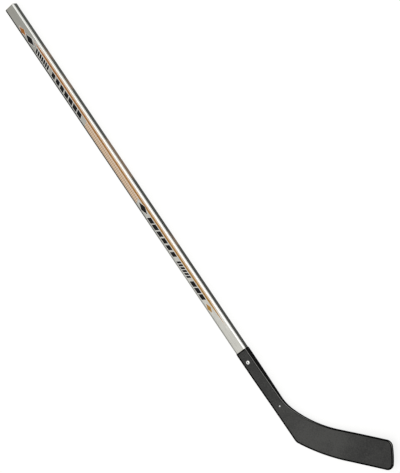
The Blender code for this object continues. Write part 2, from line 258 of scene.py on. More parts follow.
class Line(Workpiece):
    """A chain of edges drawn by extruding one point and spinning it round its bends."""

    def __init__(self, name: str, pen: Pen, height: float) -> None:
        """Starts the line as one point.

        Args:
            name: Name of the object.
            pen: The tip that it starts from.
            height: The height that it is drawn at.
        """
        super().__init__(name, bpy.ops.mesh.primitive_plane_add, size=SEED_SIZE,
                         location=(pen.x, pen.y, height))
        self.pen = pen
        self.height = height
        with self.editing():
            bpy.ops.mesh.select_all(action="SELECT")
            bpy.ops.mesh.merge(type="CENTER")

    def draw(self, *runs: Run) -> None:
        """Runs the line on from its last point.

        Args:
            runs: The straights and arcs, in their order.
        """
        with self.editing():
            self.select(Part.POINTS, lambda vert: (vert.co.xy - self.pen.place).length < TOUCH)
            for run in runs:
                self.draw_run(run)

    def draw_run(self, run: Run) -> None:
        """Draws one straight or arc from the selected last point.

        Args:
            run: The straight or arc.
        """
        x, y = math.cos(self.pen.heading), math.sin(self.pen.heading)
        if run.turn:
            radius = run.length / run.turn
            centre = (self.pen.x - radius * y, self.pen.y + radius * x, self.height)
            bpy.ops.mesh.spin(steps=run.steps, angle=-run.turn, center=centre, axis=UP, dupli=False)
        else:
            step = run.length / run.steps
            for _ in range(run.steps):
                bpy.ops.mesh.extrude_region_move(TRANSFORM_OT_translate={"value": (step * x, step * y, 0)})
        self.pen = self.pen.after((run.length, run.turn))

    def places(self) -> list[Vector]:
        """Gives the line's places in their order, by walking from point to point.

        Returns:
            The places, from the butt's side on.
        """
        mesh = self.object.data
        beside: dict[int, list[int]] = {}
        for a, b in (tuple(edge.vertices) for edge in mesh.edges):
            beside.setdefault(a, []).append(b)
            beside.setdefault(b, []).append(a)
        ends = [i for i, near in beside.items() if len(near) == 1]
        walked = [min(ends, key=lambda i: mesh.vertices[i].co.x)]
        while onward := [i for i in beside[walked[-1]] if i not in walked[-2:]]:
            walked.append(onward[0])
        return [mesh.vertices[i].co.copy() for i in walked]


def turned_piece(name: str, centre: Vector, profile: list[tuple[float, float]], steps: int) -> Workpiece:
    """Spins a profile about an upright line, as on a lathe.

    Args:
        name: Name of the piece.
        centre: Where the line stands, and the profile's height 0.
        profile: (radius, height) of each point, in order round the section.
        steps: How many faces make a full turn.

    Returns:
        The closed piece.
    """
    radius, height = profile[0]
    piece = Line(name, Pen(centre.x + radius, centre.y, 0), centre.z + height)
    with piece.editing():
        bpy.ops.mesh.select_all(action="SELECT")
        for before, after in zip(profile, profile[1:]):
            bpy.ops.mesh.extrude_region_move(
                TRANSFORM_OT_translate={"value": (after[0] - before[0], 0, after[1] - before[1])})
        bpy.ops.mesh.select_all(action="SELECT")
        bpy.ops.mesh.spin(steps=steps, angle=math.tau, center=centre, axis=UP, dupli=False)
    piece.clean()
    return piece


def round_hole(name: str, centre: Vector, radius: float, ends: tuple[float, float], steps: int) -> Workpiece:
    """Makes the shape of an upright round hole.

    Args:
        name: Name of the shape.
        centre: Where the hole stands, and height 0.
        radius: The hole's radius.
        ends: Heights of its bottom and its top.
        steps: How many faces make a full turn.

    Returns:
        The shape that is cut out.
    """
    low, high = ends
    return Workpiece(name, bpy.ops.mesh.primitive_cylinder_add, vertices=steps, radius=radius,
                     depth=high - low, location=centre + (low + high) / 2 * UP)


# Finishes


def linear(code: str) -> tuple[float, ...]:
    """Turns an sRGB hex colour into a linear one."""
    parts = [int(code[i:i + 2], 16) / 255 for i in (1, 3, 5)]
    return (*[part / 12.92 if part <= 0.04045 else ((part + 0.055) / 1.055) ** 2.4 for part in parts], 1.0)


def feed(node: bpy.types.Node, inputs: Inputs) -> None:
    """Feeds a node's inputs.

    Args:
        node: The node.
        inputs: For each input, its value, its hex colour or the output that is linked to it.
    """
    for key, value in inputs.items():
        if isinstance(value, Socket):
            node.id_data.links.new(value, node.inputs[key])
        else:
            node.inputs[key].default_value = linear(value) if isinstance(value, str) else value


def add(tree: bpy.types.NodeTree, kind: str, inputs: Inputs | None = None, out: int | str | None = 0,
        **settings: object) -> Socket:
    """Adds one shader node.

    Args:
        tree: The material's or world's node tree.
        kind: The node's type, without its ShaderNode prefix.
        inputs: What feeds its inputs.
        out: The output that is wanted, or None for all of them.
        settings: The node's own settings.

    Returns:
        The wanted output of the node, or all of them.
    """
    node = tree.nodes.new("ShaderNode" + kind)
    for setting, value in settings.items():
        setattr(node, setting, value)
    feed(node, inputs or {})
    return node.outputs if out is None else node.outputs[out]


def limits(side: str, values: tuple[float, float]) -> Inputs:
    """Gives both limits of one side of a MapRange node, "From" or "To"."""
    return {side + " Min": values[0], side + " Max": values[1]}


# A Mix node's two colours, what makes it mix colours, and where most of a noise's values lie
FROM, TO = 6, 7
COLOURS = {"data_type": "RGBA", "out": 2}
SPREAD = limits("From", (0.3, 0.7))


@dataclass(frozen=True)
class Finish:
    """What every finish has in common: its name, how its material is made, and patterns in millimetres."""

    name: str

    def build(self) -> bpy.types.Material:
        """Makes the material, and feeds its shader with what the finish draws.

        Returns:
            The material.
        """
        material = bpy.data.materials.new(self.name)
        material.use_nodes = True
        feed(material.node_tree.nodes["Principled BSDF"], self.draw(partial(add, material.node_tree)))
        return material

    def draw(self, put: Put) -> Inputs:
        """Draws the finish's patterns.

        Args:
            put: Adds a node to the material.

        Returns:
            What feeds the shader.
        """
        raise NotImplementedError

    @staticmethod
    def place(put: Put, origin: Vector = Vector()) -> Socket:
        """Gives the object coordinates in millimetres from an origin."""
        here = put("TexCoord", out="Object")
        return put("Mapping", {"Vector": here, "Location": origin * -MM, "Scale": (MM, MM, MM)})

    @staticmethod
    def drawn_out(put: Put, here: Socket, size_mm: tuple[float, ...], detail: float,
                  turn: float = 0.0) -> Socket:
        """Gives a noise whose spots are longer one way than another, such as a grain or scratches.

        Args:
            put: Adds a node to the material.
            here: The place in millimetres.
            size_mm: The size of its spots along each axis.
            detail: How much finer noise is in it.
            turn: How far it is turned about Z.

        Returns:
            The noise.
        """
        scale = tuple(1 / size for size in size_mm)
        stretched = put("Mapping", {"Vector": here, "Rotation": (0, 0, turn), "Scale": scale})
        return put("TexNoise", {"Vector": stretched, "Scale": 1.0, "Detail": detail})


@dataclass(frozen=True)
class GrainedPlastic(Finish):
    """ABS from a spark-grained mould: near black but a little grey, dull, with a fine even grain, slow
    changes of gloss where the melt flowed, and a paler middle of the blade, which is a painted pool of light.

    The grain is drawn coarser than a real one, so that it shows in a picture of the whole stick.
    """

    # Middle of the painted pool of light on the blade
    lit_middle: Vector
    colour: str = "#252524"
    # The paler colour, for the random mottle and flow and for the painted pool of light
    light_colour: str = "#424240"
    lit_reach_mm: float = 165.0
    grain_mm: float = 0.9
    mottle_mm: float = 3.2
    flow_mm: float = 46.0
    grain_height_mm: float = 0.15
    lit_share: tuple[float, float] = (0.30, -0.22)
    light_at: tuple[float, float] = (0.66, 1.34)
    roughness: tuple[float, float] = (0.50, 0.62)

    def draw(self, put: Put) -> Inputs:
        """Draws the grain, the flow and the scuffed middle.

        Args:
            put: Adds a node to the material.

        Returns:
            What feeds the shader.
        """
        here = self.place(put)
        flow, mottle, grain = (
            put("TexNoise", {"Vector": here, "Scale": 1 / size, "Detail": detail})
            for size, detail in ((self.flow_mm, 2.0), (self.mottle_mm, 3.0), (self.grain_mm, 2.0)))
        pits = put("TexVoronoi", {"Vector": here, "Scale": 1 / self.grain_mm}, out="Distance")
        # Painted light: the blade is paler near its middle and darker towards the toe and the neck
        away = put("VectorMath", {0: here, 1: self.lit_middle * MM}, out="Value", operation="DISTANCE")
        painted_light = put("MapRange", {"Value": away, "From Max": self.lit_reach_mm,
                                 **limits("To", self.lit_share)}, interpolation_type="SMOOTHSTEP")
        share = put("Math", {0: mottle, 1: flow}, operation="ADD")
        share = put("Math", {0: share, 1: painted_light}, operation="ADD")
        share = put("MapRange", {"Value": share, **limits("From", self.light_at)})
        gloss = put("MapRange", {"Value": flow, **SPREAD, **limits("To", self.roughness)})
        relief = put("Math", {0: grain, 1: pits}, operation="ADD")
        return {
            "Base Color": put("Mix", {0: share, FROM: self.colour, TO: self.light_colour}, **COLOURS),
            "Roughness": gloss, "IOR": 1.53, "Specular IOR Level": 0.2,
            "Normal": put("Bump", {"Height": relief, "Strength": 0.3, "Distance": self.grain_height_mm / MM})}


@dataclass(frozen=True)
class SmoothPlastic(Finish):
    """ABS from the mould's smooth rim: near black with hardly any shine, which is painted shade, and a pale
    line along the corner on the toe's side of the neck, which is a painted highlight that the wear breaks up."""

    # Near black, darker than the broad faces: painted shade on the edges and the rim
    colour: str = "#050505"
    highlight_colour: str = "#8b8b88"
    highlight_way: Vector = Vector((0, 0.5, 0.866))
    highlight_at: tuple[float, float] = (0.925, 0.975)
    wear_mm: float = 1.4
    wear_height_mm: float = 0.1
    patchy_at: tuple[float, float] = (0.2, 0.6)
    least_highlight: float = 0.5
    roughness: tuple[float, float] = (0.35, 0.5)

    def draw(self, put: Put) -> Inputs:
        """Draws the wear and the painted highlight on the corner.

        Args:
            put: Adds a node to the material.

        Returns:
            What feeds the shader.
        """
        # The pale line is a painted highlight on the faces that turn this way
        facing = put("VectorMath", {0: put("TexCoord", out="Normal"), 1: self.highlight_way}, out="Value",
                     operation="DOT_PRODUCT")
        wear = put("TexNoise", {"Vector": self.place(put), "Scale": 1 / self.wear_mm, "Detail": 3.0})
        patchy = put("MapRange", {"Value": wear, **limits("From", self.patchy_at),
                                  "To Min": self.least_highlight})
        highlight = put("MapRange", {"Value": facing, **limits("From", self.highlight_at)})
        highlight = put("Math", {0: highlight, 1: patchy}, operation="MULTIPLY")
        return {
            "Base Color": put("Mix", {0: highlight, FROM: self.colour, TO: self.highlight_colour}, **COLOURS),
            "Roughness": put("MapRange", {"Value": wear, **limits("To", self.roughness)}),
            "IOR": 1.53, "Specular IOR Level": 0.01,
            "Normal": put("Bump", {"Height": wear, "Strength": 0.15, "Distance": self.wear_height_mm / MM})}


@dataclass(frozen=True)
class Spot:
    """A place on the shaft, in millimetres from the middle of its butt end, and what adds nodes there."""

    put: Put
    here: Socket
    along: Socket
    across: Socket

    def slanted(self, slant: float) -> Socket:
        """Gives the place along the shaft, moved on by a share of the place across it."""
        return self.put("Math", {0: self.across, 1: slant, 2: self.along}, operation="MULTIPLY_ADD")

    def away(self, value: Socket, middle: float) -> Socket:
        """Gives how far a value is from a middle."""
        gap = self.put("Math", {0: value, 1: middle}, operation="SUBTRACT")
        return self.put("Math", {0: gap}, operation="ABSOLUTE")

    def depth(self, *sides: tuple[Socket | float, Socket | float]) -> Socket:
        """Gives how deep the place lies inside a shape.

        Args:
            sides: For each side two values, whose difference is the depth behind it.

        Returns:
            The least of these depths, which is below 0 outside the shape.
        """
        depths = [self.put("Math", {0: far, 1: near}, operation="SUBTRACT") for far, near in sides]
        return reduce(lambda a, b: self.put("Math", {0: a, 1: b}, operation="MINIMUM"), depths)


class Ink(Enum):
    """The inks of the marks: each one's colour at the butt end and at the hosel."""

    BLACK = ("#080808", "#080808")
    ORANGE = ("#99602b", "#a37a3a")
    PALE_ORANGE = ("#d3a979", "#d3a979")


@dataclass(frozen=True)
class Mark:
    """A printed shape, in millimetres from the butt end and from the middle line."""

    def depth(self, spot: Spot) -> Socket:
        """Gives how deep a place lies inside the shape."""
        raise NotImplementedError


@dataclass(frozen=True)
class Panel(Mark):
    """A panel with slanted ends, from the left edge up to its top."""

    start: float
    end: float
    top: float
    slant: float

    def depth(self, spot: Spot) -> Socket:
        """Gives how deep a place lies inside the panel."""
        slanted = spot.slanted(self.slant)
        return spot.depth((slanted, self.start), (self.end, slanted), (self.top, spot.across))


@dataclass(frozen=True)
class BarRow(Mark):
    """A row of slanted bars, whose half lengths change evenly from the first to the last."""

    start: float
    end: float
    pitch: float
    slant: float
    first_half: float
    last_half: float
    low: float = -9.0
    high: float = 1.0

    def depth(self, spot: Spot) -> Socket:
        """Gives how deep a place lies inside the nearest bar.

        Args:
            spot: The place.

        Returns:
            The depth.
        """
        length = self.end - self.start
        past = spot.put("Math", {0: spot.slanted(self.slant), 1: self.start}, operation="SUBTRACT")
        phase = spot.put("Math", {0: past, 1: self.pitch / 2}, operation="SUBTRACT")
        away = spot.put("Math", {0: phase, 1: self.pitch / 2}, operation="PINGPONG")
        half = spot.put("MapRange", {"Value": past, "From Max": length, "To Min": self.first_half,
                                     "To Max": self.last_half})
        return spot.depth((half, away), (spot.across, self.low), (self.high, spot.across), (past, 0.0),
                          (length, past))


@dataclass(frozen=True)
class Stripe(Mark):
    """A long stripe, which tapers to a point at both ends."""

    across: float
    half_width: float
    near: tuple[float, float] = (150.0, 92.0)
    far: tuple[float, float] = (885.0, 975.0)
    # Half of its width at the tips, below 0 by the outline's width, so that the outline ends there too
    tip: float = -0.6

    def depth(self, spot: Spot) -> Socket:
        """Gives how deep a place lies inside the stripe.

        Args:
            spot: The place.

        Returns:
            The depth.
        """
        near, far = (spot.put("MapRange", {"Value": spot.along, **limits("From", taper)})
                     for taper in (self.near, self.far))
        either = spot.put("Math", {0: near, 1: far}, operation="MAXIMUM")
        half = spot.put("MapRange", {"Value": either, "To Min": self.half_width, "To Max": self.tip})
        return spot.depth((half, spot.away(spot.across, self.across)))


@dataclass(frozen=True)
class Lozenge(Mark):
    """A small lozenge."""

    along: float
    across: float
    half_length: float
    half_width: float

    def depth(self, spot: Spot) -> Socket:
        """Gives how deep a place lies inside the lozenge.

        Args:
            spot: The place.

        Returns:
            The depth.
        """
        x, y = spot.away(spot.along, self.along), spot.away(spot.across, self.across)
        ratio = self.half_width / self.half_length
        reach = spot.put("Math", {0: x, 1: ratio, 2: y}, operation="MULTIPLY_ADD")
        return spot.depth((self.half_width, reach))


@dataclass(frozen=True)
class ShaftFinish(Finish):
    """What the film's finishes have in common: tones that change from the butt end to the hosel, which are
    painted light and shade, and the wood's grain, which shows through as long faint ridges."""

    butt: Vector
    tone_mm: tuple[float, float] = (60.0, 900.0)
    left_tone_mm: tuple[float, float] = (520.0, 800.0)
    ridge_mm: float = 1.6
    ridge_length_mm: float = 70.0
    ridge_height_mm: float = 0.08

    def spot(self, put: Put) -> Spot:
        """Gives the place that is being shaded."""
        here = self.place(put, self.butt)
        return Spot(put, here, *list(put("SeparateXYZ", {0: here}, out=None))[:2])

    def ridges(self, spot: Spot) -> tuple[Socket, Socket]:
        """Gives the ridges.

        Args:
            spot: The place.

        Returns:
            Their height, and the normal that it makes.
        """
        size = (self.ridge_length_mm, self.ridge_mm, self.ridge_mm)
        height = self.drawn_out(spot.put, spot.here, size, 3.0)
        bump = {"Height": height, "Strength": 0.3, "Distance": self.ridge_height_mm / MM}
        return height, spot.put("Bump", bump)

    @staticmethod
    def toned(spot: Spot, ends_mm: tuple[float, float], colours: tuple[str, str]) -> Socket:
        """Gives a colour that changes along the shaft.

        Args:
            spot: The place.
            ends_mm: Where the change begins and ends.
            colours: The colours at its two ends.

        Returns:
            The colour.
        """
        share = spot.put("MapRange", {"Value": spot.along, **limits("From", ends_mm)})
        return spot.put("Mix", {0: share, FROM: colours[0], TO: colours[1]}, **COLOURS)


@dataclass(frozen=True, kw_only=True)
class PrintedFilm(ShaftFinish):
    """Metallised polyester film, heat-shrunk on the blank: bright silver with thin dull inks."""

    half_width_mm: float
    corner_mm: float = 4.0
    # The silver gets lighter towards the hosel, which is painted light
    silver: tuple[str, str] = ("#94938c", "#bab9b2")
    # A painted highlight along the right corner, lighter towards the hosel
    corner_highlight: tuple[str, str] = ("#d4d5d0", "#e6e6e2")
    corner_highlight_fade_mm: tuple[float, float] = (-1.2, 0.9)
    # The left edge gets a painted shade, lighter towards the hosel
    edge: tuple[str, str] = ("#353633", "#686864")
    edge_fade_mm: tuple[float, float] = (1.1, 0.1)
    white: str = "#eae8e3"
    tan: str = "#d9c2a8"
    dark_tan: str = "#ab8f74"
    streaks: tuple[float, float] = (0.93, 1.07)
    # Painted shade along the butt end: where it begins and ends, and how dark it gets
    butt_shade_mm: tuple[float, float] = (2.4, 0.8)
    butt_shade_share: float = 0.7
    cloud_mm: float = 26.0
    outline_mm: float = 0.6
    hatch_mm: float = 11.0
    hatch_at: tuple[float, float] = (-0.6, 0.6)
    metallic: tuple[float, float] = (0.9, 0.1)
    roughness: tuple[float, float] = (0.24, 0.33)
    panel: Panel = Panel(350, 580, 3.0, 0.6)
    marks: tuple[tuple[Ink, Mark], ...] = (
        (Ink.BLACK, BarRow(126, 185, 8.4, 0.6, 3.3, 3.3)),
        (Ink.BLACK, BarRow(196, 331, 19.3, 0.6, 6.8, 8.8)),
        (Ink.BLACK, BarRow(634, 753, 19.8, -0.6, 9.0, 7.0)),
        (Ink.BLACK, BarRow(762, 812, 8.4, -0.6, 3.3, 3.3)),
        (Ink.BLACK, BarRow(820, 876, 18.7, -0.6, 8.2, 8.2)), (Ink.ORANGE, Stripe(5.0, 2.6)),
        (Ink.PALE_ORANGE, Stripe(9.0, 0.7)), (Ink.ORANGE, Lozenge(70, -5.4, 15.0, 5.4)),
        (Ink.ORANGE, Lozenge(896, -5.2, 14.0, 5.0)), (Ink.BLACK, Lozenge(100, -2.6, 19.0, 6.6)),
        (Ink.BLACK, Lozenge(606, -2.6, 19.0, 6.6)))

    def draw(self, put: Put) -> Inputs:
        """Draws the silver, the inks, the left edge's painted shade and the right corner's painted highlight.

        Args:
            put: Adds a node to the material.

        Returns:
            What feeds the shader.
        """
        spot = self.spot(put)
        height, normal = self.ridges(spot)
        streaks = put("MapRange", {"Value": height, **SPREAD, **limits("To", self.streaks)})
        colour = self.toned(spot, self.tone_mm, self.silver)
        colour = put("Mix", {0: 1.0, FROM: colour, TO: streaks}, blend_type="MULTIPLY", **COLOURS)
        flat = self.half_width_mm - self.corner_mm
        left, right = (put("MapRange", {"Value": spot.across, "From Min": middle + fade[0],
                                        "From Max": middle + fade[1]})
                       for middle, fade in ((-flat, self.edge_fade_mm), (flat, self.corner_highlight_fade_mm)))
        butt_shade = put("MapRange", {"Value": spot.along, **limits("From", self.butt_shade_mm),
                                 "To Max": self.butt_shade_share})
        dark = put("Math", {0: left, 1: butt_shade}, operation="MAXIMUM")

        # Each ink lies on what went before it, and the painted shade of edge and butt on all of them
        inked = 0.0
        for mask, ink in (*self.inks(spot), (dark, self.toned(spot, self.left_tone_mm, self.edge))):
            colour = put("Mix", {0: mask, FROM: colour, TO: ink}, **COLOURS)
            inked = put("Math", {0: inked, 1: mask}, operation="MAXIMUM")

        # The right corner gets a painted highlight, but not in the painted shade at the butt end
        mask = put("Math", {0: right, 1: butt_shade}, operation="SUBTRACT", use_clamp=True)
        corner_highlight = self.toned(spot, self.tone_mm, self.corner_highlight)
        inked = put("Mix", {0: mask, 2: inked, 3: 0.0}, data_type="FLOAT")
        cloud = put("TexNoise", {"Vector": spot.here, "Scale": 1 / self.cloud_mm, "Detail": 2.0})
        return {
            "Base Color": put("Mix", {0: mask, FROM: colour, TO: corner_highlight}, **COLOURS),
            "Metallic": put("MapRange", {"Value": inked, **limits("To", self.metallic)}),
            "Roughness": put("MapRange", {"Value": cloud, **SPREAD, **limits("To", self.roughness)}),
            "Normal": normal, "Specular IOR Level": 0.12, "Coat Weight": 0.05, "Coat Roughness": 0.12}

    def inks(self, spot: Spot) -> list[tuple[Socket, Socket | str]]:
        """Gives the inks in the order of printing. Each mark has a thin white outline.

        Args:
            spot: The place.

        Returns:
            For each ink a mask that is 1 on it, and its colour.
        """
        hatched = spot.put("Mix", {0: self.hatch(spot), FROM: self.dark_tan, TO: self.tan}, **COLOURS)
        colours = {ink: self.toned(spot, self.tone_mm, ink.value) for ink in Ink}
        layers = [(self.panel.depth(spot), 0.0, hatched)]
        for ink, mark in self.marks:
            depth = mark.depth(spot)
            layers += [(depth, -self.outline_mm, self.white), (depth, 0.0, colours[ink])]
        return [(spot.put("Math", {0: depth, 1: edge}, operation="GREATER_THAN"), colour)
                for depth, edge, colour in layers]

    def hatch(self, spot: Spot) -> Socket:
        """Gives the panel's cross-hatch, which is drawn coarser than a real one so that it shows in a picture
        of the whole stick.

        Args:
            spot: The place.

        Returns:
            How light the hatch is.
        """
        put, turn = spot.put, math.tau / self.hatch_mm
        waves = []
        for way in (1.0, -1.0):
            angle = put("Math", {0: spot.slanted(way), 1: turn}, operation="MULTIPLY")
            waves.append(put("Math", {0: angle}, operation="SINE"))
        product = put("Math", {0: waves[0], 1: waves[1]}, operation="MULTIPLY")
        return put("MapRange", {"Value": product, **limits("From", self.hatch_at)})


@dataclass(frozen=True, kw_only=True)
class SideFilm(ShaftFinish):
    """The film's narrow sides: a dull dark grey over the metal, which is painted shade, and the orange print
    in the same painted shade in places on the toe's side."""

    # Both greys are painted shade that changes along the shaft, the left one much lighter towards the hosel
    grey: tuple[str, str] = ("#646661", "#545551")
    left_grey: tuple[str, str] = ("#30312e", "#9a9a94")
    # The orange print where it wraps round the toe's side, darkened as painted shade
    shaded_orange: str = "#a28a74"
    print_patches_mm: tuple[tuple[float, float], ...] = ((156, 18), (246, 22), (470, 66), (713, 22))
    ragged_mm: float = 12.5
    ragged_reach_mm: float = 50.0
    print_patch_at_mm: tuple[float, float] = (20.0, 44.0)
    roughness: tuple[float, float] = (0.3, 0.45)

    def draw(self, put: Put) -> Inputs:
        """Draws the painted shade and the shaded print patches, each of which has its middle and its half
        length.

        Args:
            put: Adds a node to the material.

        Returns:
            What feeds the shader.
        """
        spot = self.spot(put)
        toe_side = put("Math", {0: spot.across, 1: 0.0}, operation="GREATER_THAN")
        ink = put("Mix", {0: toe_side, FROM: self.toned(spot, self.left_tone_mm, self.left_grey),
                          TO: self.toned(spot, self.tone_mm, self.grey)}, **COLOURS)
        depths = [spot.depth((half, spot.away(spot.along, middle))) for middle, half in self.print_patches_mm]
        nearest = reduce(lambda a, b: put("Math", {0: a, 1: b}, operation="MAXIMUM"), depths)
        ragged = put("TexNoise", {"Vector": spot.here, "Scale": 1 / self.ragged_mm, "Detail": 4.0})
        shaded_print = put("Math", {0: ragged, 1: self.ragged_reach_mm, 2: nearest}, operation="MULTIPLY_ADD")
        shaded_print = put("MapRange", {"Value": shaded_print, **limits("From", self.print_patch_at_mm)})
        shaded_print = put("Math", {0: shaded_print, 1: toe_side}, operation="MULTIPLY")
        height, normal = self.ridges(spot)
        return {
            "Base Color": put("Mix", {0: shaded_print, FROM: ink, TO: self.shaded_orange}, **COLOURS),
            "Roughness": put("MapRange", {"Value": height, **SPREAD, **limits("To", self.roughness)}),
            "Normal": normal, "Specular IOR Level": 0.05}


@dataclass(frozen=True)
class SawnWood(Finish):
    """Wood cut across by a fine saw: growth rings seen end on, small pores, and the saw's faint scratches."""

    colour: str
    dark: str
    ring_mm: float
    ring_centre: Vector
    fibre_mm: float = 0.35
    fibre_length_mm: float = 28.0
    scratch_mm: tuple[float, float, float] = (5 / 6, 50 / 3, 5 / 12)
    grain_height_mm: float = 0.1
    ring_share: float = 0.55
    pore_share: float = 0.5
    roughness: tuple[float, float] = (0.6, 0.8)

    def draw(self, put: Put) -> Inputs:
        """Draws the rings, the pores and the scratches.

        Args:
            put: Adds a node to the material.

        Returns:
            What feeds the shader.
        """
        here = self.place(put, self.ring_centre)
        rings = put("TexWave", {"Vector": here, "Scale": 1 / (self.ring_mm * math.pi), "Distortion": 1.6,
                                "Detail": 2.0, "Detail Scale": 0.4}, wave_type="RINGS",
                    rings_direction=Axis.ALONG.value, wave_profile="SAW")
        pores = self.drawn_out(put, here, (self.fibre_length_mm, self.fibre_mm, self.fibre_mm), 2.0)
        scratches = self.drawn_out(put, here, self.scratch_mm, 1.0)
        share = put("Math", {0: pores, 1: self.pore_share}, operation="MULTIPLY")
        share = put("Math", {0: rings, 1: self.ring_share, 2: share}, operation="MULTIPLY_ADD")
        relief = put("Math", {0: pores, 1: scratches}, operation="ADD")
        return {
            "Base Color": put("Mix", {0: share, FROM: self.colour, TO: self.dark}, **COLOURS),
            "Roughness": put("MapRange", {"Value": pores, **limits("To", self.roughness)}),
            "Normal": put("Bump", {"Height": relief, "Strength": 0.5, "Distance": self.grain_height_mm / MM})}


@dataclass(frozen=True)
class GlassCloth(Finish):
    """Woven glass in clear resin: a thin yellow-grey skin, glossy, with its threads just showing."""

    colour: str = "#a59c78"
    thread: str = "#c5bd9b"
    thread_mm: float = 0.5
    thread_height_mm: float = 0.1
    roughness: tuple[float, float] = (0.3, 0.5)

    def draw(self, put: Put) -> Inputs:
        """Draws the weave.

        Args:
            put: Adds a node to the material.

        Returns:
            What feeds the shader.
        """
        here = self.place(put)
        waves = [put("TexWave", {"Vector": here, "Scale": 1 / (self.thread_mm * math.pi), "Distortion": 0.4,
                                 "Detail": 1.0}, wave_type="BANDS", bands_direction=axis.value)
                 for axis in Axis]
        weave = put("Math", {0: waves[0], 1: waves[1]}, operation="MULTIPLY")
        return {
            "Base Color": put("Mix", {0: weave, FROM: self.colour, TO: self.thread}, **COLOURS),
            "IOR": 1.52, "Roughness": put("MapRange", {"Value": weave, **limits("To", self.roughness)}),
            "Normal": put("Bump", {"Height": weave, "Strength": 0.4, "Distance": self.thread_height_mm / MM})}


@dataclass(frozen=True)
class FormedMetal(Finish):
    """Small cold-formed metal, tumbled or plated: bright, with fine scratches and soft dull patches.

    The scratches are drawn coarser than real ones, so that they show in a close view.
    """

    colour: str
    dull: str
    roughness: float
    scratch_mm: float = 0.25
    scratch_length_mm: float = 3.0
    scratch_turn: float = 0.6
    scratch_height_mm: float = 0.03
    patch_mm: float = 2.0
    roughness_change: tuple[float, float] = (-0.06, 0.1)

    def draw(self, put: Put) -> Inputs:
        """Draws the scratches and the dull patches.

        Args:
            put: Adds a node to the material.

        Returns:
            What feeds the shader.
        """
        here = self.place(put)
        scratches = self.drawn_out(put, here, (self.scratch_length_mm, self.scratch_mm, self.scratch_mm), 2.0,
                                   self.scratch_turn)
        patches = put("TexNoise", {"Vector": here, "Scale": 1 / self.patch_mm, "Detail": 2.0})
        roughness = tuple(self.roughness + change for change in self.roughness_change)
        return {
            "Base Color": put("Mix", {0: patches, FROM: self.colour, TO: self.dull}, **COLOURS),
            "Metallic": 1.0,
            "Roughness": put("MapRange", {"Value": scratches, **SPREAD, **limits("To", roughness)}),
            "Normal": put("Bump", {"Height": scratches, "Strength": 0.3,
                                   "Distance": self.scratch_height_mm / MM})}


# Pieces


